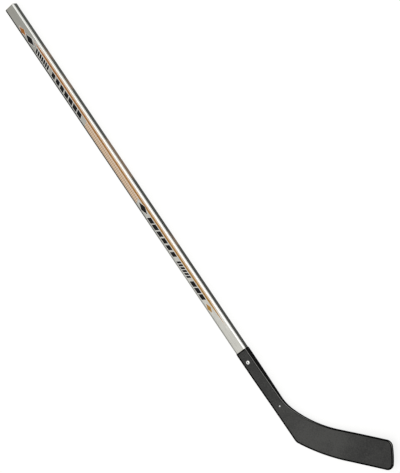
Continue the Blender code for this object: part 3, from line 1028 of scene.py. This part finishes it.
@dataclass
class BladeMoulding:
    """The one-piece moulding: hosel with its socket, tapering neck, heel and curved blade.

    Its outline is a ladder of rungs, each of which joins a place on the sole to one on the brow.
    """

    mouth: Vector
    hosel_width: float = 0.0305
    hosel_thickness: float = 0.0205
    hosel_wall: float = 0.003
    neck_taper_length: float = 0.254
    neck_sole_flare: float = math.radians(0.3)
    neck_brow_flare: float = math.radians(0.35)
    heel_distance: float = 0.2504
    heel_radius: float = 0.020
    heel_angle: float = math.radians(32)
    blade_angle: float = math.radians(49)
    rocker_radius: float = 0.435
    sole_straight: float = 0.099
    throat_radius: float = 0.100
    throat_angle: float = math.radians(22)
    brow_radius: float = 0.270
    blade_height: float = 0.0714
    toe_lean: float = math.radians(6.5)
    toe_turn: float = math.radians(10)
    toe_sole_radius: float = 0.016
    toe_brow_radius: float = 0.016
    blade_thickness: float = 0.007
    edge_radius: float = 0.002
    curve_start: float = 0.234
    curve_depth: float = 0.013
    mouth_lip: float = 0.0005
    parting_half: float = 0.0003
    parting_depth: float = 0.00012
    rim_width: float = 0.0026
    brow_rim_width: float = 0.0008
    socket_depth: float = 0.173
    socket_end_width: float = 0.0205
    socket_end_thickness: float = 0.0055
    socket_corner: float = 0.0014
    cut_margin: float = 0.005
    neck_steps: int = 24
    bend_steps: int = 120
    blade_steps: int = 24
    corner_steps: int = 14
    toe_steps: int = 10
    toe_cuts: int = 5
    edge_segments: int = 6
    lip_segments: int = 3
    socket_segments: int = 4
    parting_segments: int = 2
    # What tells faces and edges apart: how upright a broad face is, how small a face of the rim, and how
    # sharp an edge that gets rounded
    flat_normal: float = 0.999
    broad_normal: float = 0.998
    rim_step: float = 0.012
    sharp_angle: float = math.radians(70)
    # Shares for the rim's taper: how thin it may get, and how far off its line and past its corner a point
    # may lie
    least_taper: float = 0.06
    line_slack: float = 0.25
    corner_slack: float = 0.01
    piece: Line = field(init=False)
    rungs: list[tuple[Vector, Vector]] = field(init=False)

    def runs(self) -> tuple[list[Run], list[Run], Run]:
        """Works out the outline from its angles and radii.

        Returns:
            The runs of the sole from mouth to toe, those of the brow, and the arc of the toe's edge.
        """
        heel_turn = self.heel_angle + self.neck_sole_flare
        heel_start = self.heel_distance - self.heel_radius * math.tan(heel_turn / 2)
        heel, rocker, throat, brow = ((radius * turn, turn) for radius, turn in (
            (self.heel_radius, heel_turn), (self.rocker_radius, self.blade_angle - self.heel_angle),
            (self.throat_radius, self.throat_angle - self.neck_brow_flare),
            (self.brow_radius, self.blade_angle - self.throat_angle)))
        along = Vector((math.cos(self.blade_angle), math.sin(self.blade_angle)))
        across = Vector((-along.y, along.x))

        # The bends alone say how far the neck's brow side runs straight before them
        rocker_end = Pen(0, -self.hosel_width / 2, -self.neck_sole_flare).after((heel_start, 0), heel, rocker)
        sole_end = rocker_end.after((self.sole_straight, 0))
        mouth = Pen(0, self.hosel_width / 2, self.neck_brow_flare)
        height = (mouth.after(throat, brow).place - sole_end.place).dot(across)
        throat_start = (height - self.blade_height) / math.sin(self.blade_angle - self.neck_brow_flare)
        brow_end = mouth.after((throat_start, 0), throat, brow)
        foot = (rocker_end.place - brow_end.place).dot(along)

        # The brow's last straight is as long as makes its corner end on the toe edge's line
        chord_heading = self.blade_angle + math.pi / 2 + self.toe_lean
        sole_turn = chord_heading - self.toe_turn / 2 - self.blade_angle
        brow_turn = chord_heading + self.toe_turn / 2 - math.pi - self.blade_angle
        sole_corner = (self.toe_sole_radius * sole_turn, sole_turn)
        brow_corner = (self.toe_brow_radius * -brow_turn, brow_turn)
        toe_start = sole_end.after(sole_corner)
        chord = Vector((math.cos(chord_heading), math.sin(chord_heading)))
        gap = brow_end.place + Pen(0, 0, self.blade_angle).after(brow_corner).place - toe_start.place
        brow_straight = -gap.cross(chord) / along.cross(chord)
        toe_end = brow_end.after((brow_straight, 0), brow_corner)

        lines = []
        for bends, straight, corner in (
                ([(heel_start - throat_start, 0), heel, rocker], self.sole_straight, sole_corner),
                ([throat, brow, (foot, 0)], brow_straight - foot, brow_corner)):
            steps = shared_steps([length for length, _ in bends], self.bend_steps)
            lines.append([Run(throat_start, 0, self.neck_steps)]
                         + [Run(*bend, count) for bend, count in zip(bends, steps)]
                         + [Run(straight, 0, self.blade_steps), Run(*corner, self.corner_steps)])
        toe_chord = (toe_end.place - toe_start.place).length
        toe_arc = toe_chord / math.sin(self.toe_turn / 2) * self.toe_turn / 2
        return lines[0], lines[1], Run(toe_arc, self.toe_turn, self.toe_steps)

    def build(self, faces: Finish, edges: Finish, holes: list[Workpiece]) -> None:
        """Models the moulding and gives it its finishes.

        Args:
            faces: The plastic of the broad faces.
            edges: The plastic of the edges and the rim round them, whose near black is painted shade.
            holes: Closed shapes to cut out for the fasteners.
        """
        sole_runs, brow_runs, toe_edge = self.runs()
        lines = []
        for name, side, flare, runs in (("blade_moulding", -1, -self.neck_sole_flare, sole_runs),
                                        ("brow", 1, self.neck_brow_flare, brow_runs)):
            start = Pen(self.mouth.x, self.mouth.y + side * self.hosel_width / 2, flare)
            lines.append(Line(name, start, self.mouth.z))
            lines[-1].draw(*runs[:-1])
        self.piece, brow = lines
        self.rungs = list(zip(self.piece.places(), brow.places()))
        self.piece.activate()
        brow.object.select_set(True)
        bpy.ops.object.join()
        with self.piece.editing():
            bpy.ops.mesh.select_all(action="SELECT")
            bpy.ops.mesh.bridge_edge_loops()
        self.close_toe(brow.pen, sole_runs[-1], toe_edge, brow_runs[-1])
        self.thicken()
        self.part_line()
        self.round_edges()
        self.cross_toe()
        self.piece.paint(faces, edges)
        self.set_rim()
        self.hollow()
        for shape in (self.socket(), *holes):
            self.piece.cut(shape)
        self.piece.hand_over("black_abs", "blade")

    def close_toe(self, brow: Pen, sole_corner: Run, toe_edge: Run, brow_corner: Run) -> None:
        """Draws both corners and the toe's edge between them, fills the toe, and adds its last rung.

        Args:
            brow: Where the brow's corner starts.
            sole_corner: The arc from the sole to the toe's edge.
            toe_edge: The arc of the toe's edge.
            brow_corner: The arc from the brow to the toe's edge.
        """
        piece = self.piece
        corners = [piece.pen.place, brow.place]
        piece.draw(sole_corner)
        toe_start = piece.pen.place
        piece.draw(toe_edge)
        piece.pen = brow
        piece.draw(brow_corner)
        with piece.editing():
            bpy.ops.mesh.select_all(action="SELECT")
            bpy.ops.mesh.remove_doubles(threshold=TOUCH)
            piece.select(Part.EDGES, lambda edge: edge.is_wire or all(
                min((vert.co.xy - corner).length for corner in corners) < TOUCH for vert in edge.verts))
            bpy.ops.mesh.edge_face_add()
            bpy.ops.mesh.select_all(action="SELECT")
            bpy.ops.mesh.normals_make_consistent(inside=False)
        self.rungs.append(tuple(place.to_3d() + self.mouth.z * UP for place in (toe_start, piece.pen.place)))

    def distances(self) -> list[float]:
        """Measures along the middles of the rungs.

        Returns:
            Each rung's distance from the mouth.
        """
        middles = [(sole + brow) / 2 for sole, brow in self.rungs]
        run = [0.0]
        for a, b in zip(middles, middles[1:]):
            run.append(run[-1] + (b - a).length)
        return run

    def thicken(self) -> None:
        """Gives the flat outline its thickness, which eases from the hosel's to the blade's."""
        group = self.piece.object.vertex_groups.new(name="thickness")
        run = self.distances()
        for vert in self.piece.object.data.vertices:
            away, near = min((min((vert.co - place).length for place in rung), i)
                             for i, rung in enumerate(self.rungs))
            share = min(run[near if away < TOUCH else -1] / self.neck_taper_length, 1.0)
            ease = (1 - math.cos(math.pi * share)) / 2
            thickness = self.hosel_thickness + (self.blade_thickness - self.hosel_thickness) * ease
            group.add([vert.index], thickness / self.hosel_thickness, "REPLACE")
        self.piece.modify("SOLIDIFY", thickness=self.hosel_thickness, offset=0.0, vertex_group=group.name)
        self.piece.clean()

    def part_line(self) -> None:
        """Scores the mould's parting line round the middle of the edge."""
        with self.piece.editing():
            self.piece.select(
                Part.EDGES, lambda edge: (edge.verts[0].co.xy - edge.verts[1].co.xy).length < TOUCH)
            bpy.ops.mesh.subdivide(number_cuts=1)
            self.piece.select(Part.EDGES, lambda edge: not self.at_mouth(edge) and all(
                self.at_middle(vert) for vert in edge.verts))
            self.piece.bevel(self.parting_half, self.parting_segments)
            self.piece.select(
                Part.POINTS, lambda vert: self.at_middle(vert) and vert.co.x > self.mouth.x + TOUCH)
            bpy.ops.transform.shrink_fatten(value=-self.parting_depth)

    def at_middle(self, vert: bmesh.types.BMVert) -> bool:
        """Tells whether a point lies at half the thickness."""
        return abs(vert.co.z - self.mouth.z) < TOUCH

    def at_mouth(self, edge: bmesh.types.BMEdge) -> bool:
        """Tells whether an edge lies in the mouth's face."""
        return all(abs(vert.co.x - self.mouth.x) < TOUCH for vert in edge.verts)

    def round_edges(self) -> None:
        """Rounds the edges along the sole, toe and brow, and the mouth's lip by less."""
        with self.piece.editing():
            self.piece.select(Part.EDGES, lambda edge: not self.at_mouth(edge)
                              and edge.calc_face_angle(0.0) > self.sharp_angle)
            self.piece.bevel(self.edge_radius, self.edge_segments)
            self.piece.select(Part.EDGES, self.at_mouth)
            self.piece.bevel(self.mouth_lip, self.lip_segments)

    def past_corners(self, place: Vector) -> float:
        """Gives a number that is above 0 where a place lies past the last rung before the toe's corners."""
        sole, brow = self.rungs[-2]
        return (place.xy - sole.xy).cross((brow - sole).xy)

    def cross_toe(self) -> None:
        """Cuts across the toe's two broad faces, so that they can curve with the rest."""
        (sole, brow), (sole_end, brow_end) = self.rungs[-2:]
        with self.piece.editing():
            for step in range(1, self.toe_cuts + 1):
                share = step / (self.toe_cuts + 1)
                low, high = sole.lerp(sole_end, share), brow.lerp(brow_end, share)
                self.piece.select(Part.FACES, lambda face: abs(face.normal.z) > self.flat_normal and all(
                    self.past_corners(vert.co) > -self.edge_radius ** 2 for vert in face.verts))
                bpy.ops.mesh.bisect(plane_co=low, plane_no=(high - low).cross(UP))

    def set_rim(self) -> None:
        """Sets off the mould's smooth rim round both broad sides: the brow's narrow one, the rest of the wide
        one inside it, and the taper between them. The rim's near black is painted shade."""
        with self.piece.editing():
            self.piece.select(Part.FACES, self.is_broad)
            bpy.ops.mesh.inset(thickness=self.brow_rim_width, use_even_offset=True)
            bpy.ops.mesh.select_all(action="INVERT")
            self.piece.mark()
            bpy.ops.mesh.select_all(action="INVERT")
            bpy.ops.mesh.inset(thickness=self.rim_width - self.brow_rim_width, use_even_offset=True)
            self.taper_rim()
            self.piece.select(Part.FACES, lambda face: not self.is_broad(face) or self.in_rim(face))
            self.piece.mark()

    def is_broad(self, face: bmesh.types.BMFace) -> bool:
        """Tells whether a face belongs to the two broad sides."""
        return abs(face.normal.z) > self.broad_normal

    def in_rim(self, face: bmesh.types.BMFace) -> bool:
        """Tells whether a broad face belongs to the wide rim along the mouth, the sole and the toe.

        Args:
            face: The face.

        Returns:
            Whether it does.
        """
        middle = face.calc_center_median()
        to_sole, to_brow = min(([(middle.xy - place.xy).length for place in rung] for rung in self.rungs),
                               key=min)
        small = max(edge.calc_length() for edge in face.edges) < self.rim_step
        by_mouth = middle.x < self.mouth.x + self.mouth_lip + self.rim_width
        return by_mouth or small and (to_sole < to_brow or self.past_corners(middle) > 0)

    def taper_rim(self) -> None:
        """Lets the wide rim thin out round the brow's corner into the brow's narrow one."""
        start, end = (rung[1].xy for rung in self.rungs[-2:])
        upright = self.blade_angle + math.pi / 2
        centre = start - self.toe_brow_radius * Vector((math.cos(upright), math.sin(upright)))
        first, last = start - centre, end - centre
        inner = self.toe_brow_radius - self.edge_radius - self.rim_width
        widening = self.rim_width - self.brow_rim_width

        def share(vert: bmesh.types.BMVert) -> float:
            """Gives how far round the corner a point of the wide rim's inner side lies, or -1 off it.

            Args:
                vert: The point.

            Returns:
                0 on the brow's side, and 1 on the toe's.
            """
            arm = vert.co.xy - centre
            angle = math.atan2(arm.cross(first), arm.dot(first)) / first.angle(last)
            on_line = abs(arm.length - inner) < widening * self.line_slack
            in_corner = -self.corner_slack < angle < 1 + self.corner_slack
            return round(angle, 3) if on_line and in_corner else -1.0

        grid = bmesh.from_edit_mesh(self.piece.object.data)
        for step in sorted({share(vert) for vert in grid.verts} - {-1.0}):
            self.piece.select(Part.POINTS, lambda vert: share(vert) == step)
            grown = 1 + widening / inner * min(1 - step, 1 - self.least_taper)
            bpy.ops.transform.resize(value=(grown, grown, 1), center_override=(*centre, 0))

    def hollow(self) -> None:
        """Lifts the toe, so that the blade is hollow on its front."""
        group = self.piece.object.vertex_groups.new(name="lift")
        run = self.distances()
        first = next(i for i, distance in enumerate(run) if distance > self.curve_start) - 1
        for vert in self.piece.object.data.vertices:
            past = self.distance_of(vert.co, run, first) - self.curve_start
            share = max(past, 0) / (run[-1] - self.curve_start)
            group.add([vert.index], min(share, 1.0) ** 2, "REPLACE")
        self.piece.modify("DISPLACE", direction="Z", mid_level=0.0, strength=self.curve_depth,
                          vertex_group=group.name)

    def distance_of(self, place: Vector, run: list[float], first: int) -> float:
        """Gives a place's distance from the mouth, read off between the two rungs that it lies between.

        Args:
            place: The place.
            run: Each rung's distance from the mouth.
            first: The first rung that is looked at.

        Returns:
            The distance.
        """
        before = None
        for i in range(first, len(self.rungs)):
            sole, brow = self.rungs[i]
            ahead = (place.xy - sole.xy).cross((brow - sole).xy.normalized())
            if ahead <= 0:
                if before is None:
                    return run[i]
                return run[i - 1] + (run[i] - run[i - 1]) * before / (before - ahead)
            before = ahead
        return run[-1]

    def socket(self) -> Workpiece:
        """Makes the shape of the tapered socket.

        Returns:
            A bar that narrows towards its end, and stands out of the mouth a little.
        """
        length = self.socket_depth + self.cut_margin
        bar = Workpiece("socket", bpy.ops.mesh.primitive_cube_add, size=1.0, scale=(length, 1.0, 1.0),
                        location=self.mouth + Vector((length / 2 - self.cut_margin, 0, 0)))
        mouth_size = (self.hosel_width - 2 * self.hosel_wall, self.hosel_thickness - 2 * self.hosel_wall)
        end_size = (self.socket_end_width, self.socket_end_thickness)
        # The bar's near end stands outside the mouth, so it is larger by the same taper
        past = -self.cut_margin / self.socket_depth
        near_size = tuple(a + (b - a) * past for a, b in zip(mouth_size, end_size))
        with bar.editing():
            for near, size in ((True, near_size), (False, end_size)):
                bar.select(Part.POINTS, lambda vert: (vert.co.x < self.mouth.x) is near)
                bpy.ops.transform.resize(value=(1, *size), center_override=self.mouth)
            bar.select(
                Part.EDGES, lambda edge: abs(edge.verts[0].co.x - edge.verts[1].co.x) > self.hosel_wall)
            bar.bevel(self.socket_corner, self.socket_segments)
        return bar


@dataclass
class ShaftFilm:
    """The printed film: an open tube with rounded corners round the whole shaft."""

    low: Vector
    high: Vector
    corner: float = 0.004
    wall: float = 0.00025
    corner_segments: int = 12
    # Faces turned further than these to the sides get the narrow sides' painted shade, on the left early in
    # the corner
    narrow_right: float = math.sin(math.radians(76))
    narrow_left: float = math.sin(math.radians(3))

    def build(self, broad: Finish, narrow: Finish) -> None:
        """Models the tube and gives it its finishes.

        Args:
            broad: The film on the broad sides.
            narrow: The film on the narrow sides, in painted shade.
        """
        film = Workpiece("printed_film", bpy.ops.mesh.primitive_cube_add, size=1.0,
                         location=(self.low + self.high) / 2, scale=tuple(self.high - self.low))
        with film.editing():
            film.select(Part.FACES, lambda face: abs(face.normal.x) > abs(face.normal.y) + abs(face.normal.z))
            bpy.ops.mesh.delete(type="ONLY_FACE")
            film.select(Part.EDGES, lambda edge: abs(edge.verts[0].co.x - edge.verts[1].co.x) > self.corner)
            film.bevel(self.corner, self.corner_segments)
        film.modify("SOLIDIFY", thickness=self.wall, offset=-1.0, use_even_offset=True)
        film.clean()
        film.paint(broad, narrow)
        with film.editing():
            film.select(Part.FACES, lambda face: face.normal.y > self.narrow_right
                        or face.normal.y < -self.narrow_left)
            film.mark()
        film.hand_over("silver_film", "shaft_film")


@dataclass
class BlindRivet:
    """The dome-headed blind rivet and the stem that broke off inside it."""

    centre: Vector
    head_radius: float = 0.0048
    head_height: float = 0.0017
    head_rim: float = 0.0004
    shank_radius: float = 0.0024
    length: float = 0.009
    bore_radius: float = 0.00145
    bore_edge: float = 0.00012
    bore_lip: float = 0.00036
    seat_gap: float = 0.0003
    stem_head_radius: float = 0.0022
    stem_head_length: float = 0.0018
    stem_tip_radius: float = 0.0011
    stem_tip_length: float = 0.0012
    break_depth: float = 0.0006
    # The torn end, a small cone inside a collar: shares of the stem's radius, and depths below its top
    torn: tuple[tuple[float, float], ...] = (
        (0, 0), (0.3, 0.00005), (0.45, 0.0003), (0.8, 0.00035), (1, 0.0004))
    dome_steps: int = 14
    turn_steps: int = 72

    def build(self, aluminium: Finish, steel: Finish) -> None:
        """Models the body and the stem, and gives each its finish.

        Args:
            aluminium: The body's finish.
            steel: The stem's finish.
        """
        profile = [(self.bore_radius, self.head_height - self.bore_lip)]
        inner = self.bore_radius + self.bore_edge
        for step in range(self.dome_steps + 1):
            angle = math.pi / 2 * step / self.dome_steps
            profile.append((inner + (self.head_radius - inner) * math.sin(angle),
                            self.head_rim + (self.head_height - self.head_rim) * math.cos(angle)))
        profile += [(self.head_radius, self.bore_edge), (self.head_radius - self.bore_edge, 0),
                    (self.shank_radius, 0), (self.shank_radius, -self.length),
                    (self.bore_radius, -self.length), profile[0]]
        body = turned_piece("rivet_dome", self.centre, profile, self.turn_steps)
        body.paint(aluminium)
        body.hand_over("rivet_aluminium", "rivet_body")

        stem = self.bore_radius - self.seat_gap
        top = self.head_height - self.break_depth
        neck = -self.length - self.seat_gap
        bottom = neck - self.stem_head_length
        broken = turned_piece("rivet_stem", self.centre, [
            *((share * stem, top - drop) for share, drop in self.torn), (stem, neck),
            (self.stem_head_radius, neck), (self.stem_head_radius, bottom + self.stem_tip_length),
            (self.stem_tip_radius, bottom), (0, bottom)], self.turn_steps)
        broken.paint(steel)
        broken.hand_over("plated_steel", "rivet_mandrel")

    def hole(self) -> Workpiece:
        """Makes the shape of the hole that the rivet needs in the hosel's wall.

        Returns:
            The shape.
        """
        bottom = -self.length - self.seat_gap - self.stem_head_length - self.seat_gap
        return round_hole("rivet_hole", self.centre, self.shank_radius + self.seat_gap,
                          (bottom, self.head_height), self.turn_steps)


@dataclass
class NeckPin:
    """The small steel pin through the neck and the tongue's thin end."""

    centre: Vector
    length: float
    head_radius: float = 0.0020
    crown_radius: float = 0.0014
    proud: float = 0.0003
    crown_drop: float = 0.0001
    # Where the crown's roundness is halfway, as shares of its radius and drop
    crown_middle: tuple[float, float] = (0.5, 0.2)
    edge_drop: float = 0.00036
    head_thickness: float = 0.0009
    shank_radius: float = 0.0008
    point_radius: float = 0.0002
    point_length: float = 0.0016
    seat_gap: float = 0.0003
    turn_steps: int = 48

    def build(self, steel: Finish) -> None:
        """Models the pin and gives it its finish.

        Args:
            steel: The finish.
        """
        under = self.proud - self.head_thickness
        tip = self.proud - self.length
        share, drop = self.crown_middle
        pin = turned_piece("neck_pin", self.centre, [
            (0, self.proud), (share * self.crown_radius, self.proud - drop * self.crown_drop),
            (self.crown_radius, self.proud - self.crown_drop),
            (self.head_radius, self.proud - self.edge_drop), (self.head_radius, under),
            (self.shank_radius, under), (self.shank_radius, tip + self.point_length),
            (self.point_radius, tip), (0, tip)], self.turn_steps)
        pin.paint(steel)
        pin.hand_over("plated_steel", "blade_pin")

    def holes(self) -> list[Workpiece]:
        """Makes the shapes of the shank's hole and of the head's recess.

        Returns:
            Both shapes.
        """
        return [round_hole(name, self.centre, radius + self.seat_gap,
                           (self.proud - depth - self.seat_gap, 2 * self.head_radius), self.turn_steps)
                for name, radius, depth in (("pin_hole", self.shank_radius, self.length),
                                            ("pin_recess", self.head_radius, self.head_thickness))]


@dataclass
class LaminatedBlank:
    """The glued blank inside the film, whose layers show at the sawn butt end."""

    butt: Vector
    birch_ring_mm: float = 1.1
    aspen_ring_mm: float = 2.2
    birch_heart: Vector = Vector((0, 0, 0.060))
    aspen_heart: Vector = Vector((0, 0.010, -0.045))

    def dress(self) -> None:
        """Gives each layer's CAD node its finish."""
        birch_heart, aspen_heart = self.butt + self.birch_heart, self.butt + self.aspen_heart
        materials = {slot: finish.build() for slot, finish in (
            ("glass_skin", GlassCloth("woven_glass_in_resin")),
            ("birch", SawnWood("birch_sawn_veneer", "#c9a678", "#a67c4e", self.birch_ring_mm, birch_heart)),
            ("aspen", SawnWood("aspen_sawn_end", "#d8c39c", "#b99b6c", self.aspen_ring_mm, aspen_heart)))}
        for subpart in frame["record"]["subparts"]:
            material = materials.get(subpart["material_slot"])
            if material:
                node = frame["nodes"][subpart["node"]]
                node.data.materials.clear()
                node.data.materials.append(material)
                log.info("%s: CAD node with %s", node.name, material.name)


# Studio


@dataclass(frozen=True)
class Softbox:
    """A rectangular area lamp that looks at a point, with its length along the stick."""

    name: str
    place: tuple[float, float, float]
    target: tuple[float, float, float]
    length: float
    width: float
    watts: float

    def add(self) -> None:
        """Adds the lamp."""
        data = bpy.data.lights.new(self.name, "AREA")
        data.shape = "RECTANGLE"
        data.size = self.length
        data.size_y = self.width
        data.energy = self.watts
        lamp = bpy.data.objects.new(self.name, data)
        bpy.context.scene.collection.objects.link(lamp)
        lamp.location = self.place
        aim = Vector(self.target) - Vector(self.place)
        lamp.rotation_euler = aim.to_track_quat("-Z", "Y").to_euler()


@dataclass
class Studio:
    """Floor, lamps, world and camera."""

    target: Vector = Vector((0.021381, -0.011382, 0.01025))
    right: Vector = Vector((0.555098, 0.702445, -0.445470))
    up: Vector = Vector((-0.820062, 0.551780, -0.151795))
    back: Vector = Vector((0.139173, 0.449572, 0.882336))
    distance: float = 3.8
    lens: float = 121.23
    floor_size: float = 30.0
    floor_height: float = -0.0002
    floor_colour: str = "#8c8c8a"
    floor_roughness: float = 0.9
    floor_lift: float = 0.785
    white: str = "#ffffff"
    fill: float = 0.68
    softboxes: tuple[Softbox, ...] = (
        Softbox("overhead", (-0.2, 0.1, 2.3), (-0.2, 0.05, 0), 2.6, 1.6, 18.0),
        Softbox("side_fill", (0.2, -1.9, 1.5), (0.1, 0, 0), 1.6, 0.9, 4.0))

    def build(self) -> None:
        """Sets up the whole studio."""
        self.add_camera()
        self.add_floor()
        self.add_world()
        for softbox in self.softboxes:
            softbox.add()
        bpy.context.scene.view_settings.view_transform = "Standard"

    def add_camera(self) -> None:
        """Adds the camera at the photograph's viewing angle."""
        data = bpy.data.cameras.new("camera")
        data.lens = self.lens
        camera = bpy.data.objects.new("camera", data)
        bpy.context.scene.collection.objects.link(camera)
        turn = Matrix((self.right, self.up, self.back)).transposed().to_4x4()
        camera.matrix_world = Matrix.Translation(self.target + self.distance * self.back) @ turn
        bpy.context.scene.camera = camera

    def add_floor(self) -> None:
        """Adds the floor, whose lift for the camera leaves the object's shadow on it."""
        floor = Workpiece("floor", bpy.ops.mesh.primitive_plane_add, size=self.floor_size,
                          location=self.floor_height * UP)
        material = bpy.data.materials.new("white_paper_floor")
        material.use_nodes = True
        put = partial(add, material.node_tree)
        lift = put("Math", {0: self.seen(put), 1: self.floor_lift}, operation="MULTIPLY")
        feed(material.node_tree.nodes["Principled BSDF"], {
            "Base Color": self.floor_colour, "Roughness": self.floor_roughness, "Specular IOR Level": 0.0,
            "Emission Color": self.white, "Emission Strength": lift})
        floor.object.data.materials.append(material)

    @staticmethod
    def seen(put: Put) -> Socket:
        """Tells the rays that see the background from the others.

        Args:
            put: Adds a node to the tree.

        Returns:
            1 for a ray that sees it straight on, mirrored or through glass.
        """
        paths = put("LightPath", out=None)
        kinds = (paths[f"Is {kind} Ray"] for kind in ("Camera", "Glossy", "Transmission"))
        return reduce(lambda a, b: put("Math", {0: a, 1: b}, operation="MAXIMUM"), kinds)

    def add_world(self) -> None:
        """Makes the world white where it is seen, and a soft fill elsewhere."""
        world = bpy.data.worlds.new("studio")
        bpy.context.scene.world = world
        world.use_nodes = True
        put = partial(add, world.node_tree)
        strength = put("MapRange", {"Value": self.seen(put), "To Min": self.fill, "To Max": 1.0})
        feed(world.node_tree.nodes["Background"], {"Color": self.white, "Strength": strength})


def main() -> None:
    """Builds the stick's pieces in order, then the studio."""
    logging.basicConfig(level=logging.INFO, format="%(name)s: %(message)s")
    blade_low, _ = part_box("blade")
    film_low, film_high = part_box("shaft_film")
    rivet_low, rivet_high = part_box("rivet_body")
    pin_low, pin_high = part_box("blade_pin")
    blank_low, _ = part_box("core_ply_2")
    axis = (film_low + film_high) / 2
    butt = Vector((blank_low.x, axis.y, axis.z))

    rivet_centre = (rivet_low + rivet_high) / 2
    rivet = BlindRivet(Vector((rivet_centre.x, rivet_centre.y, rivet_high.z - BlindRivet.head_height)))
    pin_centre = (pin_low + pin_high) / 2
    pin = NeckPin(Vector((pin_centre.x, pin_centre.y, pin_high.z - NeckPin.proud)), pin_high.z - pin_low.z)

    # Middle of the blade's painted pool of light
    blade_middle = Vector((0.566, -0.048, 0.015))
    BladeMoulding(Vector((blade_low.x, axis.y, axis.z))).build(
        GrainedPlastic("spark_grained_abs", blade_middle), SmoothPlastic("smooth_abs_painted_shade"),
        [rivet.hole(), *pin.holes()])
    ShaftFilm(film_low, film_high).build(
        PrintedFilm("metallised_printed_film", butt, half_width_mm=(film_high.y - film_low.y) / 2 * MM),
        SideFilm("dark_inked_film", butt))
    # The stem's dark steel is partly the torn end's own dull tone and partly painted shade in the rivet's
    # bore
    rivet.build(FormedMetal("formed_aluminium", "#dcdcda", "#bdbdba", roughness=0.3),
                FormedMetal("torn_steel_painted_shade", "#6c6a67", "#3c3a38", roughness=0.5))
    pin.build(FormedMetal("zinc_plated_steel", "#b9bab9", "#9c9d9c", roughness=0.32))
    LaminatedBlank(butt).dress()
    Studio().build()


if __name__ == "__main__":
    main()
